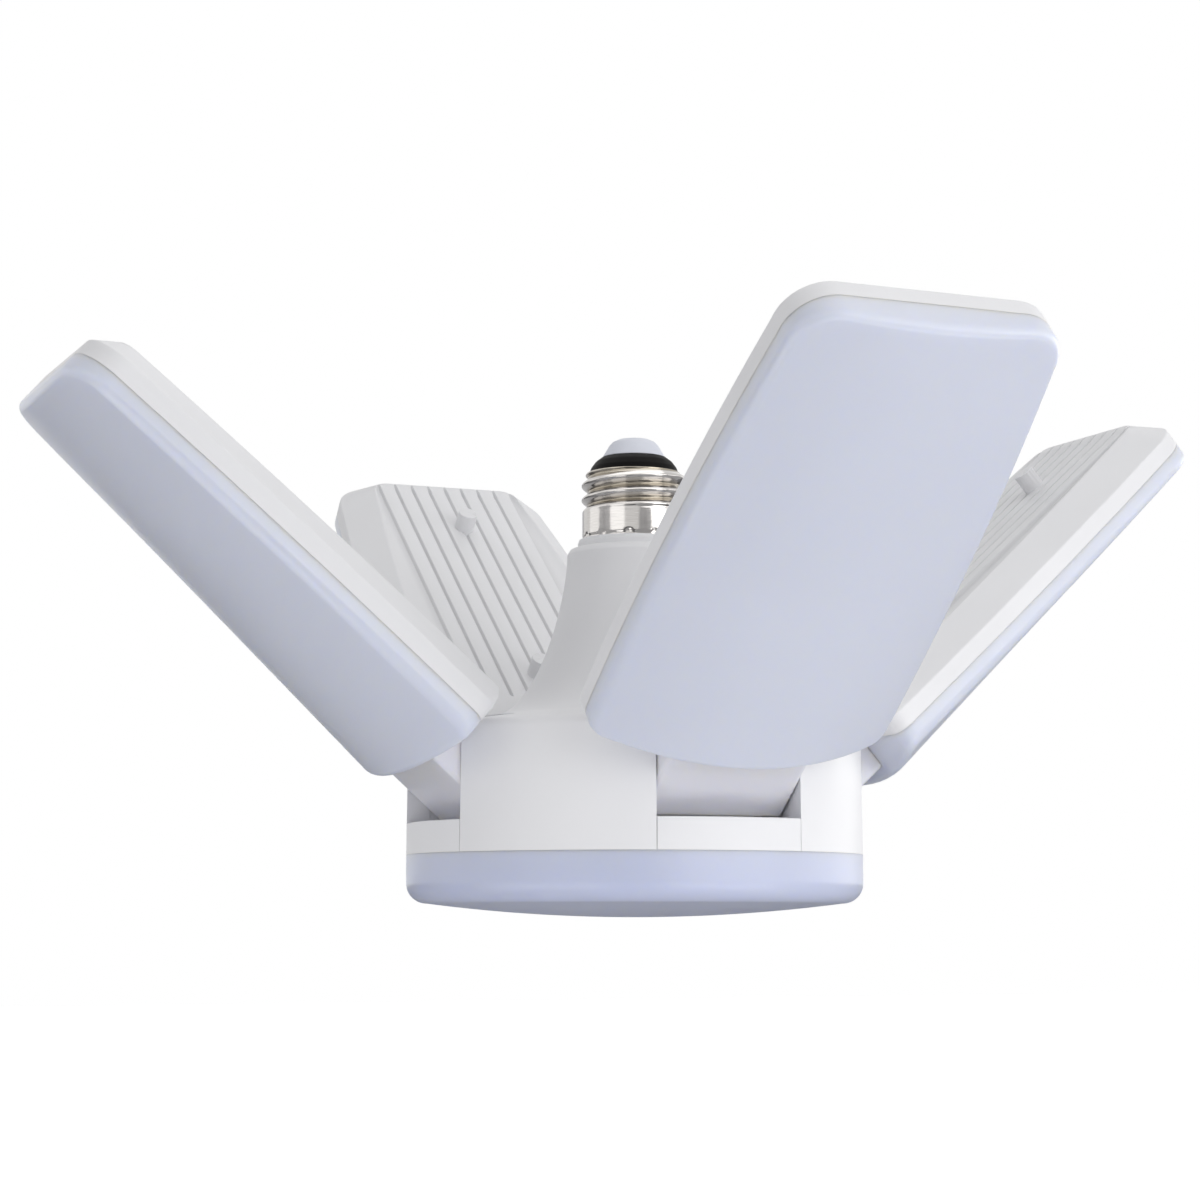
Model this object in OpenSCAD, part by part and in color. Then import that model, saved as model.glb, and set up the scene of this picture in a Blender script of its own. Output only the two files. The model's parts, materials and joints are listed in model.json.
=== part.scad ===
// Hanging garage light: a screw base, a flared housing and four hinged light leaves.
// Origin at the tip of the base contact, +Z up, so the light hangs below the origin.
// Leaves: front points along -Y, right along +X, back along +Y and left along -X.

/* [Screw base] */
// Radius over the thread crests
thread_crest_r = 13.1; // [13.05:0.01:13.15]
// Radius in the thread grooves
thread_root_r = 11.8; // [11.8:0.1:12.5]
// Distance from one thread crest to the next
thread_pitch = 3.63; // [3.5:0.01:3.7]
// Radius of the plain skirt under the thread
skirt_r = 12.9; // [12.8:0.05:12.9]
// Depth of the shell's lower rim below the contact tip
shell_drop = 25.2; // [24.8:0.1:25.6]

/* [Housing] */
// Outside radius of the housing
housing_r = 56; // [56:0.5:58]
// Depth of the shoulder's outer edge below the contact tip
shoulder_drop = 72.8; // [72.5:0.1:73]
// Depth of the bottom of the leaf slots
slot_floor_drop = 95.9; // [95.5:0.1:96.5]
// Depth of the lower edge of the housing
housing_drop = 103.5; // [103:0.5:105]
// Depth of the lowest point of the centre lens
lens_drop = 118.6; // [117:0.1:120]
// Wall of the moulded housing
housing_wall = 2; // [1.8:0.1:2.2]
// Half the width of a leaf slot
slot_half = 18.4; // [18.4:0.1:18.8]

/* [Hinges] */
// Distance of each hinge axis from the lamp's axis
hinge_r = 43.8; // [43.7:0.1:44.2]
// Depth of the hinge axes below the contact tip
hinge_drop = 82.6; // [82.4:0.1:82.8]
// Radius of the round knuckle
knuckle_r = 9.8; // [9.5:0.1:9.8]
// Radius of the hollow axle
axle_r = 3; // [2.8:0.1:3.2]
// Tilt of the front leaf above level, as it hangs at rest
front_tilt = 40; // [35:1:45]
// Tilt of the right leaf
right_tilt = 41.5; // [35:0.5:45]
// Tilt of the back leaf
back_tilt = 40; // [35:1:45]
// Tilt of the left leaf
left_tilt = 41; // [35:1:45]

/* [Leaves] */
// Length of a leaf from its inner to its outer end
leaf_len = 122; // [110:1:130]
// Distance from the hinge axis to the leaf's inner end
leaf_gap = 13; // [13:0.1:13.5]
// Half width of a leaf at mid length
leaf_half_mid = 36.2; // [35:0.1:37]
// How much narrower each side is at the ends than a straight line
leaf_bulge = 2.1; // [0:0.1:3]
// How much each side narrows from mid length to the outer end
leaf_taper = 3.6; // [0:0.1:4]
// Corner radius at the outer end
outer_corner_r = 10.5; // [9:0.5:13]
// Corner radius at the inner end
inner_corner_r = 4; // [3:0.5:5]
// Height of the upright side of the casing
casing_side_h = 4.4; // [4:0.1:5]
// Height of the casing's back above the rim
casing_back_h = 10.4; // [10:0.1:10.6]
// How far the chamfer draws the back in at the sides, near the inner end
side_inset = 7.2; // [6.6:0.1:7.4]
// How much further it is drawn in at the sides near the outer end
side_inset_growth = 2.2; // [0:0.1:2.4]
// How far the back is drawn in at the outer end
outer_inset = 5.4; // [5:0.1:6.4]
// How far the back is drawn in at the inner end
inner_inset = 0.8; // [0.8:0.1:2]
// Depth of the light face at its long edges
lens_edge_h = 4.6; // [4.2:0.1:5.2]
// Extra depth at the middle of the inner end
inner_crown = 10.7; // [8:0.1:11]
// Extra depth at the middle of the outer end
outer_crown = 3; // [1:0.1:4]
// Rounding of the light face's edge
lens_edge_r = 2; // [1.8:0.1:2.6]
// Distance between the ribs on the back
rib_pitch = 5.16; // [5:0.04:5.28]
// Number of ribs on the back
rib_count = 8; // [6:1:8]
// Depth of the grooves between the ribs
groove_depth = 1.08; // [0.8:0.02:1.1]

/* [Hidden] */
LEAVES = ["front", "right", "back", "left"];
LEAF_PARTS = ["casing", "lens", "led_board", "leds", "hinge_arm",
              "hinge_axle", "friction_washers", "screws", "lead"];
ROOT_PARTS = ["end_contact", "base_insulator", "screw_shell", "upper_housing",
              "lower_chassis", "chassis_screws", "centre_lens", "centre_led_board",
              "centre_leds", "centre_board_screws", "driver_board", "smoothing_capacitor",
              "film_capacitor", "transformer_core", "transformer_coil", "filter_choke",
              "bridge_rectifier", "driver_chip", "fuse_resistor", "base_leads",
              "leaf_supply_leads", "centre_lead"];

leaf_azimuths = [-90, 0, 90, 180];
leaf_tilts = [front_tilt, right_tilt, back_tilt, left_tilt];
fine = 64;
small = 24;
joint_fit = 0.08;
cut = 1;

shell_top = -8.6;
first_crest = -11.7;
thread_start = 156.4;
thread_end = -18.9;
insulator_foot = -13;
spigot_top = insulator_foot - 2.2;
spigot_r = 11.2;
collar_r = 14;
collar_foot = -27.4;
contact_foot = -4.6;
hinge_z = -hinge_drop;
slot_floor = -slot_floor_drop;
housing_foot = -housing_drop;
shoulder_z = -shoulder_drop;
shoulder_corner = 2;
neck_foot_r = 36;
neck_foot_z = shoulder_z + 3;
pocket_back = 33.4;
pocket_wall = 1.6;
cheek = 2;
notch_r = 38.6;
roof_underside = shoulder_z + 0.2;
journal_r = axle_r + joint_fit;
chassis_top = slot_floor - 0.1;
chassis_foot = chassis_top - 2;
boss_r = 45;
centre_board_top = chassis_foot - 1;
centre_board_foot = centre_board_top - 1.6;

rim_z = -0.6;
leaf_x0 = leaf_gap;
leaf_x1 = leaf_gap + leaf_len;
leaf_xc = (leaf_x0 + leaf_x1) / 2;
knuckle_half = slot_half - 0.3;
knuckle_edge = 1.2;
knuckle_heel = 8;
washer_r = 6;
washer_t = 0.9;
washer_seat = slot_half - 1.1;
axle_half = slot_half + cheek + 0.8;
lens_wall = 1.6;
casing_wall = 2;
board_inset = 3.6;
board_low = 0.6;
board_high = 2.1;
arm_low = 2.6;
arm_high = 5;
arm_half = 15;
arm_screw_x = leaf_gap + 14;
arm_screw_y = 8;
peg_places = [20.5, 94];
peg_r = 2.8;
peg_h = 5.4;
board_screw_places = [[45, 18], [45, -18], [105, 15], [105, -15]];
rib_r = 3.6;
rib_start = leaf_gap + 9.5;
rib_half = (rib_count / 2) * rib_pitch + 0.4;
driver_edge = 12;
driver_top = -34;
driver_foot = -88;
driver_half_t = 0.8;
lead_r = 1.1;

function middle(points) = [for (p = points) 1] * points / len(points);
function unit(v) = v / norm(v);

// Closed solid through rings of points; every ring has as many points as the first.
module skin(rings) {
    n = len(rings[0]);
    last = len(rings) - 1;
    points = concat([for (ring = rings) each ring], [middle(rings[0]), middle(rings[last])]);
    sides = [for (k = [0 : last - 1]) for (i = [0 : n - 1])
        let (a = k * n + i, b = k * n + (i + 1) % n, c = b + n, d = a + n)
        each [[a, c, b], [a, d, c]]];
    floor_faces = [for (i = [0 : n - 1]) [i, (i + 1) % n, last * n + n]];
    roof_faces = [for (i = [0 : n - 1]) [last * n + (i + 1) % n, last * n + i, last * n + n + 1]];
    polyhedron(points, concat(sides, floor_faces, roof_faces), convexity = 6);
}

// Straight round rod between two points.
module rod(from, to, r) {
    d = to - from;
    translate(from)
        rotate([0, acos(d[2] / norm(d)), atan2(d[1], d[0])])
            cylinder(r = r, h = norm(d), $fn = small);
}

// Insulated lead through a list of points, mitred at its bends.
module lead(points, r) {
    n = len(points);
    sides = 10;
    steer = unit([0.31, 0.83, -0.46]);
    runs = [for (i = [0 : n - 2]) unit(points[i + 1] - points[i])];
    skin([for (i = [0 : n - 1])
        let (d = unit(runs[max(i - 1, 0)] + runs[min(i, n - 2)]),
             u = unit(cross(d, steer)), v = cross(d, u))
        [for (k = [0 : sides - 1]) let (a = 360 * k / sides)
            points[i] + r * (cos(a) * u + sin(a) * v)]]);
}

// Pan head screw with its head under z = 0 and its shank going up.
module screw(shank_r, shank_h, head_r, head_h) {
    cylinder(r = shank_r, h = shank_h, $fn = small);
    difference() {
        translate([0, 0, -head_h]) cylinder(r = head_r, h = head_h, $fn = small);
        for (turn = [0, 90]) rotate(turn)
            translate([-head_r * 0.6, -0.3, -head_h - cut]) cube([head_r * 1.2, 0.6, cut + head_h / 2]);
    }
}

// ---- screw base ----

module end_contact() {
    color("silver") {
        rotate_extrude($fn = fine)
            polygon([[0, 0], [3.7, 0], [4.8, -0.4], [5.7, -1.3], [7.2, -3.4], [7.8, -4.3],
                     [7.8, contact_foot], [0, contact_foot]]);
        translate([0, 0, insulator_foot])
            cylinder(r = 1.6, h = contact_foot + 0.1 - insulator_foot, $fn = small);
    }
}

module base_insulator() {
    color([0.08, 0.08, 0.09]) difference() {
        rotate_extrude($fn = fine)
            polygon([[0, contact_foot], [8, contact_foot], [9.7, -5.8], [10.8, -7.4],
                     [spigot_r, -8.6], [spigot_r, insulator_foot], [0, insulator_foot]]);
        translate([0, 0, insulator_foot - cut]) cylinder(r = 1.6, h = 20, $fn = small);
    }
}

// Radius of the rolled thread at a turn angle and a height; it fades into both ends.
function thread_r(angle, z) =
    let (fade = min(1, (shell_top - z) / 2.2, (z - thread_end) / 1.2),
         wave = 0.5 + 0.5 * cos(360 * (z - first_crest) / thread_pitch - angle + thread_start))
    thread_root_r + (thread_crest_r - thread_root_r) * wave * max(0, fade);

module screw_shell() {
    turns = 36;
    steps = 22;
    color("silver") difference() {
        union() {
            skin([for (k = [0 : steps])
                let (z = thread_end + (shell_top - thread_end) * k / steps)
                [for (i = [0 : turns - 1]) let (a = 360 * i / turns)
                    [thread_r(a, z) * cos(a), thread_r(a, z) * sin(a), z]]]);
            translate([0, 0, -shell_drop])
                cylinder(r = skirt_r, h = shell_drop + thread_end + 0.2, $fn = fine);
        }
        translate([0, 0, -shell_drop - cut])
            cylinder(r = spigot_r + 0.1, h = shell_drop + cut, $fn = fine);
    }
}

// ---- housing ----

// Point and outward normal on the flare from neck to shoulder, t from 0 to 1.
flare = [[16.8, -33], [18.2, -46], [25, -69], [neck_foot_r, neck_foot_z]];
function flare_point(t) =
    pow(1 - t, 3) * flare[0] + 3 * t * pow(1 - t, 2) * flare[1]
    + 3 * t * t * (1 - t) * flare[2] + pow(t, 3) * flare[3];
function flare_slope(t) =
    pow(1 - t, 2) * (flare[1] - flare[0]) + 2 * t * (1 - t) * (flare[2] - flare[1])
    + t * t * (flare[3] - flare[2]);
function flare_inside(t) =
    let (d = flare_slope(t), u = d / norm(d))
    flare_point(t) + housing_wall * [u[1], -u[0]];

function housing_outside(foot) = concat(
    [[spigot_r, spigot_top], [spigot_r, -shell_drop - 0.05], [collar_r - 0.6, -shell_drop - 0.05],
     [collar_r, -shell_drop - 0.6], [collar_r, collar_foot], [16.2, collar_foot - 0.6],
     [16.6, collar_foot - 1]],
    [for (k = [0 : 14]) flare_point(k / 14)],
    [for (a = [90 : -15 : 0])
        [housing_r - shoulder_corner, shoulder_z - shoulder_corner]
        + shoulder_corner * [cos(a), sin(a)]],
    [[housing_r, foot]]);

module housing_envelope(foot) {
    rotate_extrude($fn = fine)
        polygon(concat([[0, spigot_top]], housing_outside(foot), [[0, foot]]));
}

module housing_hollow() {
    inner_r = housing_r - housing_wall;
    rotate_extrude($fn = fine)
        polygon(concat(
            [[0, insulator_foot], [10.1, insulator_foot], [10.1, -27], [14.7, -30.5]],
            [for (k = [0 : 12]) flare_inside(k / 12)],
            [[inner_r - 1, shoulder_z - housing_wall], [inner_r, shoulder_z - housing_wall - 1],
             [inner_r, housing_foot - cut], [0, housing_foot - cut]]));
}

// Space in which a leaf's knuckle sits and its arm swings; open outwards and upwards.
module slot_space() {
    translate([pocket_back, -slot_half, housing_foot - cut])
        cube([housing_r, 2 * slot_half, roof_underside - housing_foot + cut]);
    translate([notch_r, -slot_half, roof_underside - cut])
        cube([housing_r, 2 * slot_half, 20]);
}

module slot_walls() {
    translate([pocket_back - pocket_wall, -slot_half - cheek, slot_floor])
        cube([housing_r, 2 * (slot_half + cheek), 60]);
}

// Seat of the axle in both cheeks: a half bore, open downwards.
module axle_seat() {
    translate([hinge_r, 0, hinge_z]) rotate([90, 0, 0])
        cylinder(r = journal_r, h = 2 * (slot_half + cheek) + cut, center = true, $fn = fine);
    translate([hinge_r - journal_r, -slot_half - cheek - cut / 2, slot_floor - cut])
        cube([2 * journal_r, 2 * (slot_half + cheek) + cut, hinge_z - slot_floor + cut]);
}

module at_bosses() {
    for (turn = [45 : 90 : 315]) rotate(turn) translate([boss_r, 0, 0]) children();
}

module upper_housing() {
    color("white") difference() {
        union() {
            difference() {
                housing_envelope(housing_foot);
                housing_hollow();
            }
            intersection() {
                housing_envelope(housing_foot);
                union() {
                    for (turn = leaf_azimuths) rotate(turn) slot_walls();
                    at_bosses() translate([0, 0, slot_floor]) cylinder(r = 3.4, h = 40, $fn = small);
                }
            }
            for (side = [-1, 1]) translate([-2.2, side * 13.5 - 1.7, -58]) cube([4.4, 3.4, 24]);
        }
        for (turn = leaf_azimuths) rotate(turn) {
            slot_space();
            axle_seat();
        }
        at_bosses() translate([0, 0, slot_floor - cut]) cylinder(r = 1.3, h = 14 + cut, $fn = small);
        translate([-driver_half_t - 0.1, -driver_edge - 0.2, -90])
            cube([2 * driver_half_t + 0.2, 2 * driver_edge + 0.4, 60]);
        translate([0, 0, insulator_foot - 20]) cylinder(r = 10.1, h = 30, $fn = fine);
    }
}

module lower_chassis() {
    slot_rim = slot_half - 0.1;
    color([0.96, 0.96, 0.97]) difference() {
        union() {
            translate([0, 0, chassis_foot]) cylinder(r = housing_r - housing_wall - 0.2, h = 2, $fn = fine);
            for (turn = leaf_azimuths) rotate(turn) {
                intersection() {
                    difference() {
                        translate([0, 0, housing_foot])
                            cylinder(r = housing_r, h = slot_floor - housing_foot, $fn = fine);
                        translate([0, 0, housing_foot - cut])
                            cylinder(r = housing_r - housing_wall - 0.3, h = 20, $fn = fine);
                    }
                    translate([0, -slot_rim, housing_foot - cut]) cube([housing_r + cut, 2 * slot_rim, 20]);
                }
                for (side = [-1, 1])
                    translate([hinge_r - axle_r, side * (slot_half + cheek / 2) - 0.85, chassis_foot])
                        cube([2 * axle_r, 1.7, hinge_z - chassis_foot]);
            }
            for (turn = [0 : 90 : 270]) rotate(turn) translate([30, 0, centre_board_top])
                cylinder(r = 3, h = 2, $fn = small);
        }
        for (turn = leaf_azimuths) rotate(turn)
            translate([hinge_r, 0, hinge_z]) rotate([90, 0, 0])
                cylinder(r = journal_r, h = 60, center = true, $fn = fine);
        at_bosses() translate([0, 0, chassis_foot - cut]) cylinder(r = 1.7, h = 4, $fn = small);
        for (turn = [0 : 90 : 270]) rotate(turn) translate([30, 0, centre_board_top - cut])
            cylinder(r = 0.9, h = 6, $fn = small);
        translate([0, 8, chassis_foot - cut]) cylinder(r = 2.5, h = 4, $fn = small);
    }
}

module chassis_screws() {
    color("silver") at_bosses() translate([0, 0, chassis_foot - 0.02]) screw(1.3, 12, 2.8, 1.8);
}

function lens_profile(wall) =
    let (corner = 5, side_foot = -110.3, r = housing_r - wall, edge_r = housing_r - corner,
         sag = lens_drop - 115.3, dome_r = (edge_r * edge_r + sag * sag) / (2 * sag))
    concat(
        [[r, housing_foot - 0.05], [r, side_foot]],
        [for (a = [15 : 15 : 75]) [edge_r, side_foot] + (corner - wall) * [cos(a), -sin(a)]],
        [for (x = [edge_r : -edge_r / 8 : 1])
            [x, -lens_drop + dome_r - sqrt(dome_r * dome_r - x * x) + wall]],
        [[0, -lens_drop + wall]]);

module centre_lens() {
    skirt_out = housing_r - housing_wall - 0.4;
    color([0.78, 0.81, 0.92]) {
        rotate_extrude($fn = fine) difference() {
            polygon(concat([[0, housing_foot - 0.05]], lens_profile(0)));
            polygon(concat([[0, housing_foot + cut], [housing_r - 3.4, housing_foot + cut],
                            [housing_r - 3.4, housing_foot - 1.6]],
                           [for (p = lens_profile(lens_wall)) [p[0], min(p[1], housing_foot - 1.6)]]));
        }
        difference() {
            translate([0, 0, housing_foot - 0.6]) cylinder(r = skirt_out, h = 3.5, $fn = fine);
            translate([0, 0, housing_foot - 2]) cylinder(r = skirt_out - 1.4, h = 8, $fn = fine);
        }
    }
}

module centre_led_board() {
    color([0.93, 0.94, 0.95]) difference() {
        translate([0, 0, centre_board_foot]) cylinder(r = 40, h = 1.6, $fn = fine);
        for (turn = [0 : 90 : 270]) rotate(turn) translate([30, 0, centre_board_foot - cut])
            cylinder(r = 1.2, h = 4, $fn = small);
        translate([0, 8, centre_board_foot - cut]) cylinder(r = 1.4, h = 4, $fn = small);
    }
}

module centre_leds() {
    color([0.98, 0.9, 0.55]) for (ring = [[12, 6], [22, 12], [35, 16]])
        for (k = [0 : ring[1] - 1]) rotate(360 * (k + 0.5) / ring[1])
            translate([ring[0] - 1.5, -1.4, centre_board_foot - 0.8]) cube([3, 2.8, 0.8]);
}

module centre_board_screws() {
    color("silver") for (turn = [0 : 90 : 270]) rotate(turn)
        translate([30, 0, centre_board_foot - 0.02]) screw(0.9, 4, 2, 1.2);
}

// ---- driver ----

module driver_board() {
    color([0.2, 0.45, 0.25]) translate([-driver_half_t, -driver_edge, driver_foot])
        cube([2 * driver_half_t, 2 * driver_edge, driver_top - driver_foot]);
}

module smoothing_capacitor() {
    color([0.15, 0.16, 0.2]) translate([driver_half_t + 6.3, 4, -84]) {
        cylinder(r = 6.2, h = 20, $fn = fine);
        translate([-6.28, 0, 3]) rotate([0, 90, 0]) cylinder(r = 0.5, h = 3, $fn = small);
    }
}

module film_capacitor() {
    color([0.75, 0.2, 0.15]) translate([driver_half_t, -6.5, -50]) cube([6, 13, 10]);
}

module transformer_core() {
    color([0.3, 0.3, 0.32]) translate([-driver_half_t, -9, -78]) difference() {
        translate([-13, 0, 0]) cube([13, 18, 17]);
        translate([-10, 4, -cut]) cube([7, 10, 17 + 2 * cut]);
    }
}

module transformer_coil() {
    color([0.85, 0.7, 0.2]) translate([-driver_half_t - 9.8, -4.8, -77]) cube([6.6, 9.6, 15]);
}

module filter_choke() {
    color([0.6, 0.35, 0.2]) translate([-driver_half_t - 4, 0, -55]) {
        cylinder(r = 4, h = 10, $fn = fine);
        translate([0, 0, -0.8]) cylinder(r = 3.9, h = 0.9, $fn = fine);
    }
}

module bridge_rectifier() {
    color([0.1, 0.1, 0.11]) translate([driver_half_t, -9.5, -61]) cube([2.6, 7, 8]);
}

module driver_chip() {
    color([0.1, 0.1, 0.11]) translate([driver_half_t, -10, -76]) {
        cube([1.6, 4, 5]);
        for (k = [0 : 3]) translate([0, -1, 0.4 + 1.27 * k]) cube([0.5, 6, 0.45]);
    }
}

module fuse_resistor() {
    color([0.35, 0.5, 0.4]) translate([-driver_half_t - 2, 7, -48]) {
        cylinder(r = 2, h = 8, $fn = small);
        translate([0, 0, -2]) cylinder(r = 0.4, h = 12, $fn = small);
    }
}

module base_leads() {
    start = driver_top + 0.02;
    color("black") lead([[0, 0, start], [0, 0, insulator_foot - 0.02]], 0.9);
    color("white") lead([[0, 6, start], [0, 6, -32], [0, 8.6, -28], [0, 8.6, -14.2],
                         [0, spigot_r, -14.1]], 0.8);
}

module centre_lead() {
    color("red") lead([[0, 8, driver_foot], [0, 8, centre_board_top]], lead_r);
}

// Feeds from the driver's lower edge to the end of each hinge axle.
module leaf_supply_leads() {
    color("red") for (i = [0 : 3]) rotate(leaf_azimuths[i]) {
        start = i == 0 ? 8.5 : i == 1 ? 1.8 : 5;
        lead([[start, start * 0.3, -89.5], [24, 23.5, -90], [hinge_r, 25.5, -86],
              [hinge_r, 24, hinge_z], [hinge_r, axle_half + 0.02, hinge_z]], lead_r);
    }
}

// ---- leaves: X outwards from the hinge axis, Z towards the ribbed back ----

function leaf_half(x) =
    let (t = (x - leaf_xc) / (leaf_len / 2))
    leaf_half_mid - leaf_bulge * t * t - leaf_taper * t;

// Insets are lists: at the sides near the inner end and near the outer end, then at both ends.
function even(inset) = [inset, inset, inset, inset];

// One side of the leaf's outline from the outer to the inner end, drawn in by the insets.
function leaf_side(inset) =
    let (x0 = leaf_x0 + inset[2], x1 = leaf_x1 - inset[3],
         ro = max(outer_corner_r - inset[3], 1), ri = max(inner_corner_r - inset[0], 0.6))
    concat(
        [[x1, (side_y(x1 - ro, inset) - ro) * 0.5]],
        [for (a = [0 : 18 : 90]) [x1 - ro + ro * cos(a), side_y(x1 - ro, inset) - ro + ro * sin(a)]],
        [for (k = [1 : 5]) let (x = x1 - ro + (x0 + ri - x1 + ro) * k / 6) [x, side_y(x, inset)]],
        [for (a = [90 : 30 : 180]) [x0 + ri + ri * cos(a), side_y(x0 + ri, inset) - ri + ri * sin(a)]],
        [for (k = [3 : -1 : 1]) [x0, (side_y(x0 + ri, inset) - ri) * k / 4]]);

// Half width at a distance from the hinge, drawn in by the insets of the sides.
function side_y(x, inset) =
    leaf_half(x) - inset[0] - (inset[1] - inset[0]) * (x - leaf_x0) / leaf_len;

function leaf_outline(inset) =
    let (side = leaf_side(inset), n = len(side))
    concat(side, [[leaf_x0 + inset[2], 0]], [for (i = [n - 1 : -1 : 0]) [side[i][0], -side[i][1]]],
           [[leaf_x1 - inset[3], 0]]);

function level(inset, h) = [for (p = leaf_outline(inset)) [p[0], p[1], rim_z + h]];

// Depth of the crowned light face below the rim.
function face_depth(p) =
    let (t = max(0, min(1, (p[0] - leaf_x0) / leaf_len)), across = p[1] / leaf_half(p[0]))
    lens_edge_h + (inner_crown + (outer_crown - inner_crown) * t) * max(0, 1 - across * across);

function middle_ring(inset, raise) =
    [for (q = leaf_outline(even(inset)))
        [leaf_xc + (q[0] - leaf_xc) * 0.05, q[1] * 0.05, rim_z - face_depth([leaf_xc, 0]) + raise]];

function face_ring(inset, scale, raise) =
    [for (q = leaf_outline(even(inset)))
        let (p = [leaf_xc + (q[0] - leaf_xc) * scale, q[1] * scale])
        [p[0], p[1], rim_z - face_depth(p) + raise]];

// Rings from the middle of the light face out to its edge.
function lens_rings(wall) = concat(
    [middle_ring(lens_edge_r, wall)],
    [for (s = [0.35, 0.7]) face_ring(lens_edge_r, s, wall)],
    [for (a = [90 : -30 : 0])
        face_ring(lens_edge_r - (lens_edge_r - wall) * cos(a), 1,
                  lens_edge_r - (lens_edge_r - wall) * sin(a))]);

module lens() {
    color([0.8, 0.83, 0.93]) difference() {
        union() {
            skin(concat(lens_rings(0), [level(even(0), 0)]));
            skin([level(even(casing_wall + 0.15), -0.5), level(even(casing_wall + 0.15), 1.5)]);
        }
        skin(concat(lens_rings(lens_wall),
                    [level(even(lens_wall), -1.4), level(even(casing_wall + 1.35), -0.9),
                     level(even(casing_wall + 1.35), 2.5)]));
    }
}

// Grooves that leave rounded ribs standing between them.
module rib_grooves() {
    translate([rib_start, 0, rim_z + casing_back_h]) rotate([90, 0, 90])
        linear_extrude(height = leaf_len) difference() {
            translate([-rib_half, -groove_depth]) square([2 * rib_half, groove_depth + cut]);
            for (k = [0 : rib_count - 1])
                translate([(k - (rib_count - 1) / 2) * rib_pitch, -rib_r]) circle(r = rib_r, $fn = fine);
        }
}

module casing() {
    back = [side_inset, side_inset + side_inset_growth, inner_inset, outer_inset];
    rise = casing_back_h - casing_side_h;
    slope = rise / side_inset;
    inner_edge = casing_side_h - casing_wall * sqrt(1 + slope * slope) + slope * casing_wall;
    ceiling = casing_back_h - groove_depth - 1.4;
    roof = even(casing_wall) + back * (ceiling - inner_edge) / rise;
    color("white") difference() {
        union() {
            difference() {
                skin([level(even(0), 0), level(even(0), casing_side_h), level(back, casing_back_h)]);
                skin([level(even(casing_wall), -cut), level(even(casing_wall), inner_edge),
                      level(roof, ceiling)]);
            }
            for (x = peg_places) translate([leaf_gap + x, 0, rim_z + casing_back_h - groove_depth - 0.5])
                cylinder(r = peg_r, h = groove_depth + 0.5 + peg_h, $fn = small);
            for (p = board_screw_places) translate([leaf_gap + p[0], p[1], rim_z + board_high + 0.05])
                cylinder(r = 2.6, h = ceiling - board_high + 0.5, $fn = small);
            for (side = [-1, 1]) translate([arm_screw_x, side * arm_screw_y, rim_z + arm_high + 0.05])
                cylinder(r = 3, h = ceiling - arm_high + 0.5, $fn = small);
        }
        difference() {
            rib_grooves();
            for (x = peg_places) translate([leaf_gap + x, 0, rim_z]) cylinder(r = peg_r, h = 20, $fn = small);
        }
        translate([leaf_gap - cut, -arm_half - 0.2, rim_z + arm_low - 0.2])
            cube([6, 2 * arm_half + 0.4, arm_high - arm_low + 0.4]);
        for (p = board_screw_places) translate([leaf_gap + p[0], p[1], rim_z + board_high - cut])
            cylinder(r = 0.9, h = 5 + cut, $fn = small);
        for (side = [-1, 1]) translate([arm_screw_x, side * arm_screw_y, rim_z + arm_high - cut])
            cylinder(r = 1.1, h = 2.9 + cut, $fn = small);
    }
}

module led_board() {
    color([0.93, 0.94, 0.95]) difference() {
        translate([0, 0, rim_z + board_low])
            linear_extrude(height = board_high - board_low) polygon(leaf_outline(even(board_inset)));
        for (p = board_screw_places) translate([leaf_gap + p[0], p[1], rim_z])
            cylinder(r = 1.1, h = 4, $fn = small);
        for (side = [-1, 1]) translate([arm_screw_x, side * arm_screw_y, rim_z])
            cylinder(r = 3.2, h = 4, $fn = small);
    }
}

module leds() {
    color([0.98, 0.9, 0.55]) for (k = [0 : 8]) for (j = [-1.5 : 1 : 1.5])
        translate([leaf_gap + 18 + 11 * k, j * 12 - 1.4, rim_z + board_low - 0.8]) cube([3, 2.8, 0.8]);
}

// Half of the knuckle's barrel, with its end edge bevelled.
module half_barrel() {
    straight = knuckle_half - knuckle_edge;
    cylinder(r = knuckle_r, h = straight, $fn = fine);
    translate([0, 0, straight])
        cylinder(r1 = knuckle_r, r2 = knuckle_r - knuckle_edge, h = knuckle_edge, $fn = fine);
}

// Section of the arm, whose flat underside runs on behind the axle to fill the slot.
module arm_section() {
    k = knuckle_half;
    low = -knuckle_r;
    high = rim_z + arm_high;
    polygon([[-k, high], [-k, low + knuckle_edge], [-k + knuckle_edge, low],
             [k - knuckle_edge, low], [k, low + knuckle_edge], [k, high]]);
}

module hinge_arm() {
    hollow_half = arm_half - 1;
    color([0.85, 0.87, 0.94]) difference() {
        union() {
            for (turn = [-90, 90]) rotate([turn, 0, 0]) half_barrel();
            translate([-knuckle_heel, 0, 0]) rotate([90, 0, 90])
                linear_extrude(height = knuckle_heel + leaf_gap - 0.1) arm_section();
            translate([0, -arm_half, rim_z + arm_low])
                cube([leaf_gap + 24, 2 * arm_half, arm_high - arm_low]);
        }
        for (side = [-1, 1]) translate([0, side * (washer_seat + cut), 0]) rotate([90, 0, 0])
            cylinder(r = washer_r + 0.2, h = 2 * cut, center = true, $fn = fine);
        translate([knuckle_r - 3, -hollow_half, -knuckle_r + lens_wall])
            cube([leaf_gap, 2 * hollow_half, knuckle_r - lens_wall - 2.4]);
        rotate([90, 0, 0]) cylinder(r = axle_r, h = 60, center = true, $fn = fine);
        rod([0, 0, 0], [9.5, 0, 3.2], 1.6);
        translate([8, -1.6, 1.6]) cube([40, 3.2, 10]);
        for (side = [-1, 1]) translate([arm_screw_x, side * arm_screw_y, rim_z])
            cylinder(r = 1.2, h = 10, $fn = small);
    }
}

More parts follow.
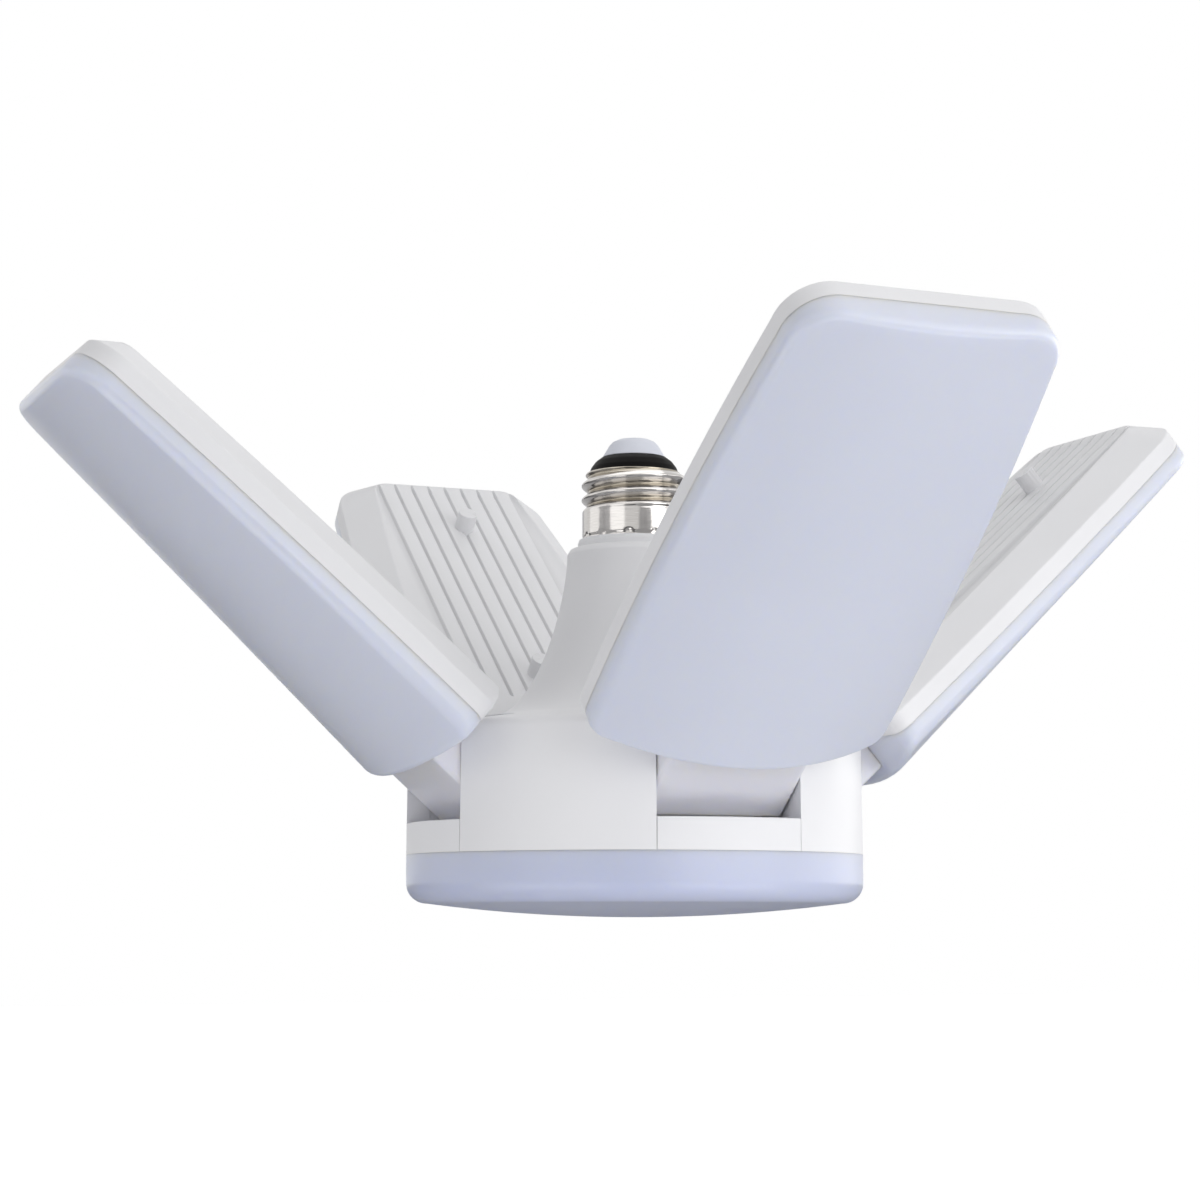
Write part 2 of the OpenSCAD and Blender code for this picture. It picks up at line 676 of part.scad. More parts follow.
module hinge_axle() {
    color("silver") difference() {
        rotate([90, 0, 0]) cylinder(r = axle_r, h = 2 * axle_half, center = true, $fn = fine);
        rotate([90, 0, 0]) cylinder(r = 1.7, h = 2 * axle_half + 2 * cut, center = true, $fn = small);
        rod([0, 0, 0], [9.5, 0, 3.2], 1.5);
    }
}

module friction_washers() {
    color([0.75, 0.73, 0.7]) for (side = [-1, 1])
        translate([0, side * (washer_seat + washer_t / 2), 0]) rotate([90, 0, 0]) difference() {
            cylinder(r = washer_r, h = washer_t, center = true, $fn = fine);
            cylinder(r = axle_r, h = washer_t + cut, center = true, $fn = fine);
        }
}

module screws() {
    color("silver") {
        for (p = board_screw_places)
            translate([leaf_gap + p[0], p[1], rim_z + board_low - 0.02]) screw(0.9, 6, 1.9, 1);
        for (side = [-1, 1])
            translate([arm_screw_x, side * arm_screw_y, rim_z + arm_low - 0.02]) screw(1.1, 5, 2.4, 1.4);
    }
}

module leaf_lead() {
    color("red") lead([[0, axle_half, 0], [0, 0, 0], [9.5, 0, 3.2], [40, 0, 3.2],
                       [40, 0, rim_z + board_high + 0.02]], lead_r - 0.2);
}

// Puts a leaf's pieces at its hinge, turned out and tilted as it hangs.
module at_leaf(i) {
    rotate(leaf_azimuths[i]) translate([hinge_r, 0, hinge_z]) rotate([0, -leaf_tilts[i], 0]) children();
}

end_contact();
base_insulator();
screw_shell();
upper_housing();
lower_chassis();
chassis_screws();
centre_lens();
centre_led_board();
centre_leds();
centre_board_screws();
driver_board();
smoothing_capacitor();
film_capacitor();
transformer_core();
transformer_coil();
filter_choke();
bridge_rectifier();
driver_chip();
fuse_resistor();
base_leads();
leaf_supply_leads();
centre_lead();
for (i = [0 : 3]) at_leaf(i) {
    casing();
    lens();
    led_board();
    leds();
    hinge_arm();
    hinge_axle();
    friction_washers();
    screws();
    leaf_lead();
}
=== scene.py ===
"""Hanging garage light with four hinged leaves, dressed around its CAD frame."""
import json
import math

import bpy
from mathutils import Matrix, Vector


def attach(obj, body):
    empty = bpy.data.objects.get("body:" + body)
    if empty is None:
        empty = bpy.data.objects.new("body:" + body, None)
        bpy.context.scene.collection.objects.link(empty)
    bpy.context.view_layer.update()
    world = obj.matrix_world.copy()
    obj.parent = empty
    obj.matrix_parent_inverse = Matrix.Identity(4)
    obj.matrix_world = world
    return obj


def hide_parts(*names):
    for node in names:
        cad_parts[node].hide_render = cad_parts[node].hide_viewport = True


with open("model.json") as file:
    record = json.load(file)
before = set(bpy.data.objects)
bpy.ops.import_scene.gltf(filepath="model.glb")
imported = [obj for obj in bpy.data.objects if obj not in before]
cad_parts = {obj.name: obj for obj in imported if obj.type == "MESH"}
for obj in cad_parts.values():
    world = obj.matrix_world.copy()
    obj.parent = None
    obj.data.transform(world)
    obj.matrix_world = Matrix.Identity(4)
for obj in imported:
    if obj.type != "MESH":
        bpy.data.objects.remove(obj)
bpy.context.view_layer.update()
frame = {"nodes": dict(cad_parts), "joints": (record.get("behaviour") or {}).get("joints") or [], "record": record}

# ---- sizes, in millimetres; they follow the CAD ----

MM = 0.001
LEAVES = ("front", "right", "back", "left")
AZIMUTH = {"front": -90, "right": 0, "back": 90, "left": 180}

# Housing, its four slots and the chassis that closes them; radii and places out from the axis.
HOUSING_R = 56.0
SHOULDER_Z = -72.8
SLOT_FLOOR = -95.9
HOUSING_FOOT = -103.5
LENS_FOOT = -118.6
SLOT_HALF = 18.4
SLOT_BACK, SLOT_ROOF, NOTCH_START = 33.4, -72.6, 38.6
WALL_START, CHEEK_END, CHEEK_THICK = 31.8, 51.8, 2.0
PAST_WALL, PAST_FOOT = 70.0, -110.0  # where the cutters end, outside the housing
WALL_IN_R, RING_R = 54.0, 53.7
CHASSIS_R, CHASSIS_TOP, CHASSIS_FOOT = 53.8, -96.0, -98.0
SEAM, SET_BACK = 0.12, 0.02  # gap beside a ring segment, and its step behind the wall
HINGE_R = 43.8
HINGE_Z = -82.6
SEAT_R = 3.08
CONTACT_FOOT, INSULATOR_FOOT = -4.6, -13
BORE_R, SPIGOT_TOP, SPIGOT_BORE_R = 11.2, -15.2, 10.1

# Leaf, with its hinge's axis as the origin and its back upwards.
LEAF_START = 13.0
LEAF_END = 135.0
LEAF_LEN = LEAF_END - LEAF_START
HALF_MID, HALF_BULGE, HALF_TAPER = 36.2, 2.1, 3.6  # half width: middle, bulge and taper
OUTER_R, INNER_R = 10.5, 4.0  # corners at the outer and at the inner end
RIM = -0.6
SIDE_H, BACK_H = 4.4, 10.4
FACE_EDGE_H, FACE_EDGE_R = 4.6, 2.0
INNER_CROWN, OUTER_CROWN = 10.7, 3.0
BACK_INSETS = (7.2, 9.4, 0.8, 5.4)  # of the chamfer, in the order of leaf_outline
RIB_PITCH, RIB_COUNT, RIB_CROWN = 5.16, 8, 0.25
GROOVE_DEPTH, GROOVE_FROM, GROOVE_SLOPE = 1.06, 0.76, 0.22  # the last two in half ribs
RIB_START, RIB_END = 22.6, LEAF_END - 9.3
RIBS_HALF = RIB_COUNT * RIB_PITCH / 2
RIB_TOP = RIM + BACK_H
PEG_PLACES, PEG_R, PEG_H = (33.5, 107.0), 2.75, 5.2
KNUCKLE_R, KNUCKLE_HALF, KNUCKLE_HEEL = 9.8, 18.1, 8.0
WASHER_SEAT, SEAT_BORE_R, AXLE_R = 17.3, 6.2, 3.0
# Opposite corners of two hollows in the hinge arm.
ARM_HOLLOW = ((6.8, -14, -8.2), (LEAF_START + 1, 14, -2.4))
LEAD_SLOT = ((8, -1.6, 1.6), (LEAF_START + 1, 1.6, 4.15))


def hinge_tilts():
    """Each leaf's tilt at rest: a hinge's lower limit is level."""
    return {j["child"].split("_")[0]: -j["range_deg"][0] for j in frame["joints"]}


TILT = hinge_tilts()


# ---- outlines ----

def eased(t):
    """Smooth step from 0 to 1 as t goes from 0 to 1."""
    t = min(1.0, max(0.0, t))
    return t * t * (3 - 2 * t)


def rounded(points, steps=6):
    """A polyline of (x, y, radius) with each corner of a radius turned into an arc."""
    out = []
    for i, (x, y, r) in enumerate(points):
        here = Vector((x, y))
        if r <= 0 or i in (0, len(points) - 1):
            out.append((x, y))
            continue
        back = Vector(points[i - 1][:2]) - here
        ahead = Vector(points[i + 1][:2]) - here
        a, b = back.normalized(), ahead.normalized()
        half = a.angle(b) / 2
        reach = min(r / math.tan(half), back.length * 0.49, ahead.length * 0.49)
        r = reach * math.tan(half)
        centre = here + (a + b).normalized() * (r / math.sin(half))
        start, end = here + a * reach - centre, here + b * reach - centre
        turn = start.angle_signed(end)
        for k in range(steps + 1):
            angle = -turn * k / steps
            c, s = math.cos(angle), math.sin(angle)
            p = centre + Vector((start.x * c - start.y * s, start.x * s + start.y * c))
            out.append((p.x, p.y))
    return out


def leaf_half(x):
    """Half width of a leaf at a distance from the hinge: a taper with a slight bulge."""
    t = (x - (LEAF_START + LEAF_END) / 2) / (LEAF_LEN / 2)
    return HALF_MID - HALF_BULGE * t * t - HALF_TAPER * t


def side_y(x, insets):
    """Half width at a distance from the hinge, drawn in by the insets of the sides."""
    t = (x - LEAF_START) / LEAF_LEN
    return leaf_half(x) - insets[0] * (1 - t) - insets[1] * t


def leaf_outline(insets):
    """Plan outline of a leaf, anticlockwise from the outer end, drawn in by one inset or by four.

    The four are at the sides near the inner end and near the outer end, then at both ends.
    """
    if not isinstance(insets, tuple):
        insets = (insets,) * 4
    x0, x1 = LEAF_START + insets[2], LEAF_END - insets[3]
    ro, ri = max(OUTER_R - insets[3], 0.8), max(INNER_R - insets[0], 0.5)
    outer_y, inner_y = side_y(x1 - ro, insets) - ro, side_y(x0 + ri, insets) - ri
    half = [(x1, outer_y * k / 7) for k in range(1, 7)]
    half += [(x1 - ro + ro * math.cos(a), outer_y + ro * math.sin(a))
             for a in (math.radians(90 * k / 18) for k in range(19))]
    run = x0 + ri - (x1 - ro)
    half += [(x, side_y(x, insets)) for x in (x1 - ro + run * k / 48 for k in range(1, 48))]
    half += [(x0 + ri + ri * math.cos(a), inner_y + ri * math.sin(a))
             for a in (math.radians(90 + 90 * k / 10) for k in range(11))]
    half += [(x0, inner_y * k / 8) for k in range(7, 0, -1)]
    return half + [(x0, 0.0)] + [(x, -y) for x, y in reversed(half)] + [(x1, 0.0)]


# ---- meshes ----

def mesh_of(name, verts, faces):
    mesh = bpy.data.meshes.new(name)
    mesh.from_pydata([Vector(v) * MM for v in verts], [], faces)
    mesh.validate()
    return mesh


def loft(name, rings, closed=False):
    """Mesh through rings of points, anticlockwise and rising; capped, or closed into a ring."""
    n, last = len(rings[0]), len(rings) - 1
    verts = [p for ring in rings for p in ring]
    spans = [(k, k + 1) for k in range(last)] + ([(last, 0)] if closed else [])
    faces = [(a * n + i, a * n + (i + 1) % n, b * n + (i + 1) % n, b * n + i)
             for a, b in spans for i in range(n)]
    if not closed:
        faces.append(tuple(reversed(range(n))))
        faces.append(tuple(last * n + i for i in range(n)))
    return mesh_of(name, verts, faces)


def lathe(name, profile, turns=192, closed=False):
    """Surface of revolution about Z; its profile of (radius, z) runs down on the outside."""
    rings = []
    for r, z in reversed(profile):
        rings.append([(r * math.cos(a), r * math.sin(a), z)
                      for a in (2 * math.pi * i / turns for i in range(turns))])
    return loft(name, rings, closed)


def prism(name, outline, low, high):
    return loft(name, [[(x, y, low) for x, y in outline], [(x, y, high) for x, y in outline]])


def block(name, low, high):
    """Box from one corner to the other."""
    (x0, y0, z0), (x1, y1, z1) = low, high
    return prism(name, [(x0, y0), (x1, y0), (x1, y1), (x0, y1)], z0, z1)


def moved(mesh, matrix):
    mesh.transform(matrix)
    return mesh


def turned_y(mesh):
    """Turns a mesh made along Z so that its length runs along Y."""
    return moved(mesh, Matrix.Rotation(math.radians(90), 4, "X"))


def shift(x, y, z):
    return Matrix.Translation(Vector((x, y, z)) * MM)


def put(name, data):
    """New object in the scene."""
    obj = bpy.data.objects.new(name, data)
    bpy.context.scene.collection.objects.link(obj)
    return obj


def combine(base, others, operation):
    """The base mesh with the others cut away or joined on, as one clean solid."""
    body = put("work", base)
    tools = [put("tool", other) for other in others]
    for tool in tools:
        modifier = body.modifiers.new("step", "BOOLEAN")
        modifier.object = tool
        modifier.operation = operation
        modifier.solver = "EXACT"
    bpy.context.view_layer.update()
    solved = body.evaluated_get(bpy.context.evaluated_depsgraph_get())
    result = bpy.data.meshes.new_from_object(solved)
    for made in [body] + tools:
        bpy.data.objects.remove(made)
    return result


def cut(base, *others):
    return combine(base, others, "DIFFERENCE")


def join(base, *others):
    return combine(base, others, "UNION")


def mark(mesh, depth_at):
    """Writes a weight from 0 to 1 for each point, which the materials read as painted shade, and on the shell also
    as tarnish.
    """
    depths = [min(1.0, max(0.0, depth_at(vertex.co / MM))) for vertex in mesh.vertices]
    mesh.attributes.new("groove", "FLOAT", "POINT").data.foreach_set("value", depths)


def smooth(mesh):
    """Smooth shading, with edges over 35 degrees left sharp."""
    mesh.polygons.foreach_set("use_smooth", [True] * len(mesh.polygons))
    mesh.set_sharp_from_angle(angle=math.radians(35))
    return mesh


def coat(mesh, material):
    """Gives the whole mesh one material."""
    mesh.materials.clear()
    mesh.materials.append(material)
    for polygon in mesh.polygons:
        polygon.material_index = 0


def piece(name, mesh, material, body, nodes):
    """Puts a finished mesh in the scene in place of the CAD nodes it stands for."""
    obj = put(name, smooth(mesh))
    coat(mesh, material)
    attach(obj, body)
    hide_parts(*nodes)


# ---- materials ----

class Nodes:
    """Small helper that adds and links shader nodes."""

    def __init__(self, name):
        self.material = bpy.data.materials.new(name)
        self.material.use_nodes = True
        self.tree = self.material.node_tree
        self.shader = self.tree.nodes["Principled BSDF"]
        self.place = self.tree.nodes.new("ShaderNodeTexCoord").outputs["Object"]

    def add(self, kind, **values):
        node = self.tree.nodes.new(kind)
        for key, value in values.items():
            if key in node.inputs:
                node.inputs[key].default_value = value
            else:
                setattr(node, key, value)
        return node

    def link(self, a, b):
        self.tree.links.new(a, b)

    def noise(self, scale, detail=3.0, roughness=0.5):
        node = self.add("ShaderNodeTexNoise", Scale=scale, Detail=detail, Roughness=roughness)
        self.link(self.place, node.inputs["Vector"])
        return node.outputs["Fac"]

    def ramp(self, value, low, high, start=0.3, end=0.7):
        """Colour between two, read from a value."""
        node = self.tree.nodes.new("ShaderNodeValToRGB")
        node.color_ramp.elements[0].position = start
        node.color_ramp.elements[1].position = end
        node.color_ramp.elements[0].color = (*low, 1)
        node.color_ramp.elements[1].color = (*high, 1)
        self.link(value, node.inputs["Fac"])
        return node.outputs["Color"]

    def span(self, value, low, high):
        """Number between two, read from a value around the middle of noise."""
        node = self.add("ShaderNodeMapRange")
        for key, number in zip(("From Min", "From Max", "To Min", "To Max"), (0.3, 0.7, low, high)):
            node.inputs[key].default_value = number
        self.link(value, node.inputs["Value"])
        return node.outputs["Result"]

    def groove(self):
        """Weight from 0 to 1 that the mesh marks for painted shade in its grooves."""
        node = self.tree.nodes.new("ShaderNodeAttribute")
        node.attribute_name = "groove"
        return node.outputs["Fac"]

    def product(self, a, b):
        """Colour of one socket times the colour of another."""
        node = self.tree.nodes.new("ShaderNodeMix")
        node.data_type = "RGBA"
        node.blend_type = "MULTIPLY"
        node.inputs[0].default_value = 1.0
        self.link(a, node.inputs[6])
        self.link(b, node.inputs[7])
        return node.outputs[2]

    def stretch(self, scale):
        """Stretches every texture that is added from here on."""
        node = self.tree.nodes.new("ShaderNodeMapping")
        node.inputs["Scale"].default_value = scale
        self.link(self.place, node.inputs["Vector"])
        self.place = node.outputs["Vector"]

    def bump(self, height, strength, distance):
        """Fine relief; the strength is from 0 to 1 and the distance is in metres."""
        node = self.add("ShaderNodeBump", Strength=strength, Distance=distance)
        self.link(height, node.inputs["Height"])
        self.link(node.outputs["Normal"], self.shader.inputs["Normal"])


def linear(r, g, b):
    """Screen colour, 0 to 255, as the linear values that shaders take."""
    return tuple(c / 12.92 if c <= 0.04045 else ((c + 0.055) / 1.055) ** 2.4
                 for c in (r / 255, g / 255, b / 255))


def moulded(name, colour, rough, grain=900.0, variation=0.02, bump=0.08, shade=None):
    """Moulded plastic: faint flow shading, a fine spark-eroded grain and uneven gloss.

    A shade, from 0 to 1, darkens it where the mesh marks its grooves: painted shade.
    """
    n = Nodes(name)
    light = tuple(min(1, c * (1 + variation)) for c in colour)
    dark = tuple(c * (1 - variation) for c in colour)
    tone = n.ramp(n.noise(24.0, 2.0), dark, light)
    if shade is not None:
        shade_weight = n.ramp(n.groove(), (1, 1, 1), (shade, shade, shade), start=0.0, end=1.0)
        tone = n.product(tone, shade_weight)
    n.link(tone, n.shader.inputs["Base Color"])
    n.link(n.span(n.noise(60.0, 4.0), rough - 0.05, rough + 0.05), n.shader.inputs["Roughness"])
    n.bump(n.noise(grain, 4.0, 0.6), bump, 0.00012)
    return n.material


def milky(name, colour):
    """Translucent diffuser plastic: satin skin over a bluish body that lets a little light in."""
    n = Nodes(name)
    light = tuple(min(1, c * 1.015) for c in colour)
    dark = tuple(c * 0.985 for c in colour)
    n.link(n.ramp(n.noise(16.0, 2.0), dark, light), n.shader.inputs["Base Color"])
    n.link(n.span(n.noise(45.0, 3.0), 0.3, 0.38), n.shader.inputs["Roughness"])
    n.shader.inputs["Subsurface Weight"].default_value = 0.9
    n.shader.inputs["Subsurface Radius"].default_value = (0.8, 0.9, 1.2)
    n.shader.inputs["Subsurface Scale"].default_value = 0.0025
    n.shader.inputs["Coat Weight"].default_value = 0.2
    n.shader.inputs["Coat Roughness"].default_value = 0.22
    n.bump(n.noise(700.0, 3.0), 0.04, 0.0001)
    return n.material


def metal(name, colour, rough):
    """Rolled or drawn metal with fine streaks."""
    n = Nodes(name)
    streaks = n.noise(300.0, 5.0, 0.6)
    n.link(n.ramp(streaks, tuple(c * 0.85 for c in colour), colour), n.shader.inputs["Base Color"])
    n.link(n.span(streaks, rough - 0.06, rough + 0.08), n.shader.inputs["Roughness"])
    n.shader.inputs["Metallic"].default_value = 1.0
    n.bump(streaks, 0.15, 0.00006)
    return n.material


def fired_black(name):
    """Fired black glass of the base's insulator, dulled by its skin."""
    n = Nodes(name)
    tone = n.ramp(n.noise(180.0, 3.0), linear(10, 8, 9), linear(16, 14, 14))
    n.link(tone, n.shader.inputs["Base Color"])
    n.link(n.span(n.noise(250.0, 3.0), 0.42, 0.56), n.shader.inputs["Roughness"])
    n.shader.inputs["Specular IOR Level"].default_value = 0.06
    n.bump(n.noise(220.0, 2.0), 0.1, 0.00015)
    return n.material


def rolled_metal(name, crest, groove, rough):
    """Plated shell rolled along its turns, darker and browner in the thread's grooves: painted shade with a
    brownish tarnish.
    """
    n = Nodes(name)
    n.stretch((1, 1, 14))
    streaks = n.noise(300.0, 5.0, 0.6)
    shade_and_tarnish = n.ramp(n.groove(), crest, groove, start=0.5, end=1.0)
    tone = n.product(shade_and_tarnish, n.ramp(streaks, (0.86, 0.86, 0.86), (1, 1, 1)))
    n.link(tone, n.shader.inputs["Base Color"])
    n.link(n.span(streaks, rough - 0.05, rough + 0.06), n.shader.inputs["Roughness"])
    n.shader.inputs["Metallic"].default_value = 1.0
    n.bump(streaks, 0.15, 0.00006)
    return n.material


WHITE = moulded("white_moulding", linear(238, 238, 240), 0.42)
# The shade of 0.88 is painted shade, darkening the rib grooves and the coves beside the outer ribs.
CASING = moulded("casing_moulding", linear(235, 235, 237), 0.45, grain=1100.0, shade=0.88)
KNUCKLE = milky("knuckle_moulding", linear(226, 226, 233))
DIFFUSER = milky("milky_diffuser", linear(217, 221, 234))
# The centre diffuser is a darker copy of the leaves' diffuser plastic: painted shade.
SHADED_CENTRE = milky("centre_diffuser", linear(200, 206, 229))
# The second colour darkens and browns the thread roots: painted shade with a brownish tarnish.
SHELL = rolled_metal("rolled_shell", linear(200, 197, 194), linear(160, 152, 138), 0.12)
CONTACT = moulded("contact_solder", linear(223, 226, 236), 0.5,
                  grain=260.0, variation=0.04, bump=0.2)
STEEL = metal("plated_steel", linear(190, 190, 192), 0.32)
INSULATOR = fired_black("insulator_glass")

SLOT_MATERIALS = {
    "contact": CONTACT, "insulator": INSULATOR, "shell": SHELL, "white_plastic": WHITE,
    "knuckle_plastic": KNUCKLE, "diffuser": DIFFUSER, "screw_steel": STEEL, "axle_steel": STEEL,
    "washer": metal("wave_washer", linear(168, 165, 160), 0.4),
    "led_board": moulded("board_mask", linear(238, 240, 238), 0.35, grain=300.0),
    "phosphor": moulded("phosphor", linear(240, 205, 90), 0.55, grain=500.0, variation=0.06),
    "circuit_board": moulded("circuit_mask", linear(38, 96, 52), 0.3, grain=260.0, variation=0.12),
    "component_black": moulded("component_black", linear(38, 38, 41), 0.45, variation=0.1),
    "component_red": moulded("component_red", linear(150, 44, 32), 0.3, variation=0.08),
    "component_green": moulded("component_green", linear(96, 128, 104), 0.35, variation=0.08),
    "ferrite": moulded("ferrite", linear(62, 62, 66), 0.7, grain=400.0, variation=0.15, bump=0.3),
    "coil_tape": moulded("coil_tape", linear(214, 170, 52), 0.35, variation=0.08),
    "lead_black": moulded("lead_black", linear(34, 34, 36), 0.5, variation=0.1),
    "lead_red": moulded("lead_red", linear(168, 36, 30), 0.5, variation=0.06),
}


def dress_cad_nodes():
    """Every CAD node that stays gets the procedural material of its slot."""
    for entry in frame["record"]["subparts"]:
        coat(frame["nodes"][entry["node"]].data, SLOT_MATERIALS[entry["material_slot"]])


# ---- screw base ----

def contact_mesh():
    """Button of the end contact: a flat tip on a rounded cone."""
    profile = rounded([(0, 0, 0), (4.0, 0, 0.8), (5.4, -0.7, 0.8), (6.2, -1.6, 1.0), (7.2, -3.3, 1.0),
                       (7.8, -4.3, 0.2), (7.8, CONTACT_FOOT, 0), (0, CONTACT_FOOT, 0)])
    return lathe("contact", [(max(r, 0.02), z) for r, z in profile], 96)


def insulator_mesh():
    """Glass between the button and the shell: a cone on a drum that fills the shell's mouth."""
    profile = rounded([(7.7, CONTACT_FOOT, 0), (8.0, -4.5, 0.15), (9.6, -5.7, 2.5), (10.7, -7.2, 2.0),
                       (11.15, -8.5, 0.8), (BORE_R, -9.7, 0), (BORE_R, INSULATOR_FOOT, 0),
                       (0, INSULATOR_FOOT, 0)])
    return lathe("insulator", [(0.02, CONTACT_FOOT)] + [(max(r, 0.02), z) for r, z in profile], 128)


CREST_R, ROOT_R, SKIRT_R, PITCH = 13.1, 11.55, 12.9, 3.63
FIRST_CREST, THREAD_START = -11.7, math.radians(156.4)
SHELL_TOP, THREAD_END, SKIRT_TOP, SHELL_FOOT = -8.6, -16.4, -18.9, -25.2
CRIMPS, CRIMP_Z = 12, -24.4
SHADE_AND_TARNISH_R = CREST_R - 0.35


def shell_radius(angle, z):
    """Outside radius of the rolled shell: thread, skirt and the crimped rim."""
    wave = 0.5 + 0.5 * math.cos(2 * math.pi * (z - FIRST_CREST) / PITCH - angle + THREAD_START)
    rolled = ROOT_R + (CREST_R - ROOT_R) * wave * eased((SHELL_TOP + 0.5 - z) / 1.4)
    skirt = SKIRT_R - 0.2 * eased((SHELL_FOOT + 1.0 - z) / 0.9)
    across = math.remainder(angle * CRIMPS, 2 * math.pi)
    dimple = math.exp(-(across / 0.7) ** 2 - ((z - CRIMP_Z) / 0.45) ** 2)
    run_out = eased((THREAD_END - z) / (THREAD_END - SKIRT_TOP))
    return rolled + (skirt - rolled) * run_out - 0.3 * dimple


def shell_mesh():
    """Rolled shell, as a stack of rings outside and a plain bore."""
    turns, steps = 192, 180
    zs = [SHELL_FOOT + (SHELL_TOP - SHELL_FOOT) * k / steps for k in range(steps + 1)]
    angles = [2 * math.pi * i / turns for i in range(turns)]

    def ring(z, r_of):
        return [(r_of(a) * math.cos(a), r_of(a) * math.sin(a), z) for a in angles]

    rings = [ring(z, lambda a, z=z: shell_radius(a, z)) for z in zs]
    rings.append(ring(SHELL_TOP + 0.1, lambda a: shell_radius(a, SHELL_TOP) - 0.1))
    rings.append(ring(SHELL_TOP, lambda a: BORE_R + 0.05))
    rings.append(ring(SHELL_FOOT, lambda a: BORE_R + 0.05))
    mesh = loft("shell", rings, closed=True)
    # Weight for painted shade with a brownish tarnish, rising into the thread roots.
    mark(mesh, lambda p: (SHADE_AND_TARNISH_R - math.hypot(p.x, p.y)) / (SHADE_AND_TARNISH_R - ROOT_R))
    return mesh


# ---- housing ----

def bezier(points, steps):
    """Points along a cubic curve from the first of four points to the last."""
    a, b, c, d = (Vector(point) for point in points)
    out = []
    for k in range(steps + 1):
        t = k / steps
        s = 1 - t
        q = a * s ** 3 + b * 3 * t * s * s + c * 3 * t * t * s + d * t ** 3
        out.append((q.x, q.y))
    return out


def housing_mesh():
    """Flared shell of revolution with a walled slot, and seats for the axle, for each leaf."""
    flare = bezier([(16.8, -33), (18.2, -46), (25, -69), (36, -69.8)], 40)
    collar = rounded([(BORE_R, SPIGOT_TOP, 0), (BORE_R, -25.3, 0), (13.75, -25.3, 0.6),
                      (13.85, -26.2, 0), (14.0, -26.35, 0), (14.0, -27.5, 0.25),
                      (15.9, -27.9, 0.9), (16.6, -29.2, 1.2), flare[0] + (0,)], 5)[:-1]
    shoulder = rounded([(36, -69.8, 0), (55.7, SHOULDER_Z - 0.1, 2.2),
                        (HOUSING_R, HOUSING_FOOT, 0), (WALL_IN_R, HOUSING_FOOT, 0)], 10)[1:]
    outside = collar + flare + shoulder
    flare_in = bezier([(14.8, -33), (16.2, -47), (22.5, -71.2), (35, -71.8)], 24)
    inside = [(WALL_IN_R, -75.8), (WALL_IN_R - 1, -74.8)] + flare_in[::-1]
    inside += [(SPIGOT_BORE_R, -27), (SPIGOT_BORE_R, SPIGOT_TOP)]
    shell = lathe("housing", outside + inside, 256, closed=True)
    walls, cutters = [], []
    for leaf in LEAVES:
        turn = Matrix.Rotation(math.radians(AZIMUTH[leaf]), 4, "Z")
        for y in (-SLOT_HALF - CHEEK_THICK, SLOT_HALF):
            cheek = block("cheek", (WALL_START, y, SLOT_FLOOR), (CHEEK_END, y + CHEEK_THICK, SLOT_ROOF))
            walls.append(moved(cheek, turn))
        wall = block("back", (WALL_START, -19, SLOT_FLOOR), (SLOT_BACK, 19, SLOT_ROOF + 1))
        walls.append(moved(wall, turn))
        for name, low, high in (
                ("slot", (SLOT_BACK, -SLOT_HALF, PAST_FOOT), (PAST_WALL, SLOT_HALF, SLOT_ROOF)),
                ("notch", (NOTCH_START, -SLOT_HALF, SLOT_ROOF - 0.4), (PAST_WALL, SLOT_HALF, -60)),
                ("seat", (HINGE_R - SEAT_R, -21, PAST_FOOT), (HINGE_R + SEAT_R, 21, HINGE_Z))):
            cutters.append(moved(block(name, low, high), turn))
    return cut(join(shell, *walls), *cutters)


def centre_mesh():
    """Cap of the centre diffuser: short wall, round edge and shallow dome."""
    edge, sag, corner = 51.0, 3.3, 5.0
    low = LENS_FOOT + sag
    dome_r = (edge * edge + sag * sag) / (2 * sag)
    outside = [(HOUSING_R, HOUSING_FOOT - 0.01)]
    outside += [(edge + corner * math.cos(a), low + corner - corner * math.sin(a))
                for a in (math.radians(90 * k / 16) for k in range(17))]
    outside += [(r, LENS_FOOT + dome_r - math.sqrt(dome_r * dome_r - r * r))
                for r in (edge * k / 28 for k in range(27, 0, -1))]
    outside.append((0.05, LENS_FOOT))
    inside = [(0.05, LENS_FOOT + 1.6), (50, -113.8), (53.6, -111), (54.2, -106),
              (52.6, HOUSING_FOOT - 0.1)]
    return lathe("centre", outside + inside, 256, closed=True)


def chassis_mesh():
    """Floor plate with a curved ring segment under each slot and a post under each axle end."""
    plate = lathe("plate", [(0.05, CHASSIS_TOP), (CHASSIS_R, CHASSIS_TOP),
                            (CHASSIS_R, CHASSIS_FOOT), (0.05, CHASSIS_FOOT)], closed=True)
    half = math.asin((SLOT_HALF - SEAM) / HOUSING_R)
    outer_r = HOUSING_R - SET_BACK
    section = rounded([(54.2, -99, 0), (RING_R, HOUSING_FOOT, 0), (outer_r, HOUSING_FOOT, 0),
                       (outer_r, SLOT_FLOOR, 0.35), (RING_R, SLOT_FLOOR, 0.2), (RING_R, -98.8, 0)], 4)
    rings = [[(r * math.cos(a), r * math.sin(a), z) for r, z in section]
             for a in (half * (2 * k / 24 - 1) for k in range(25))]
    parts = []
    for leaf in LEAVES:
        turn = Matrix.Rotation(math.radians(AZIMUTH[leaf]), 4, "Z")
        parts.append(moved(loft("segment", rings), turn))
        for side in (-1, 1):
            y = side * (SLOT_HALF + CHEEK_THICK / 2)
            post = block("post", (HINGE_R - AXLE_R, y - 0.85, CHASSIS_FOOT),
                         (HINGE_R + AXLE_R, y + 0.85, HINGE_Z - 2.9))
            parts.append(moved(post, turn))
    return join(plate, *parts)


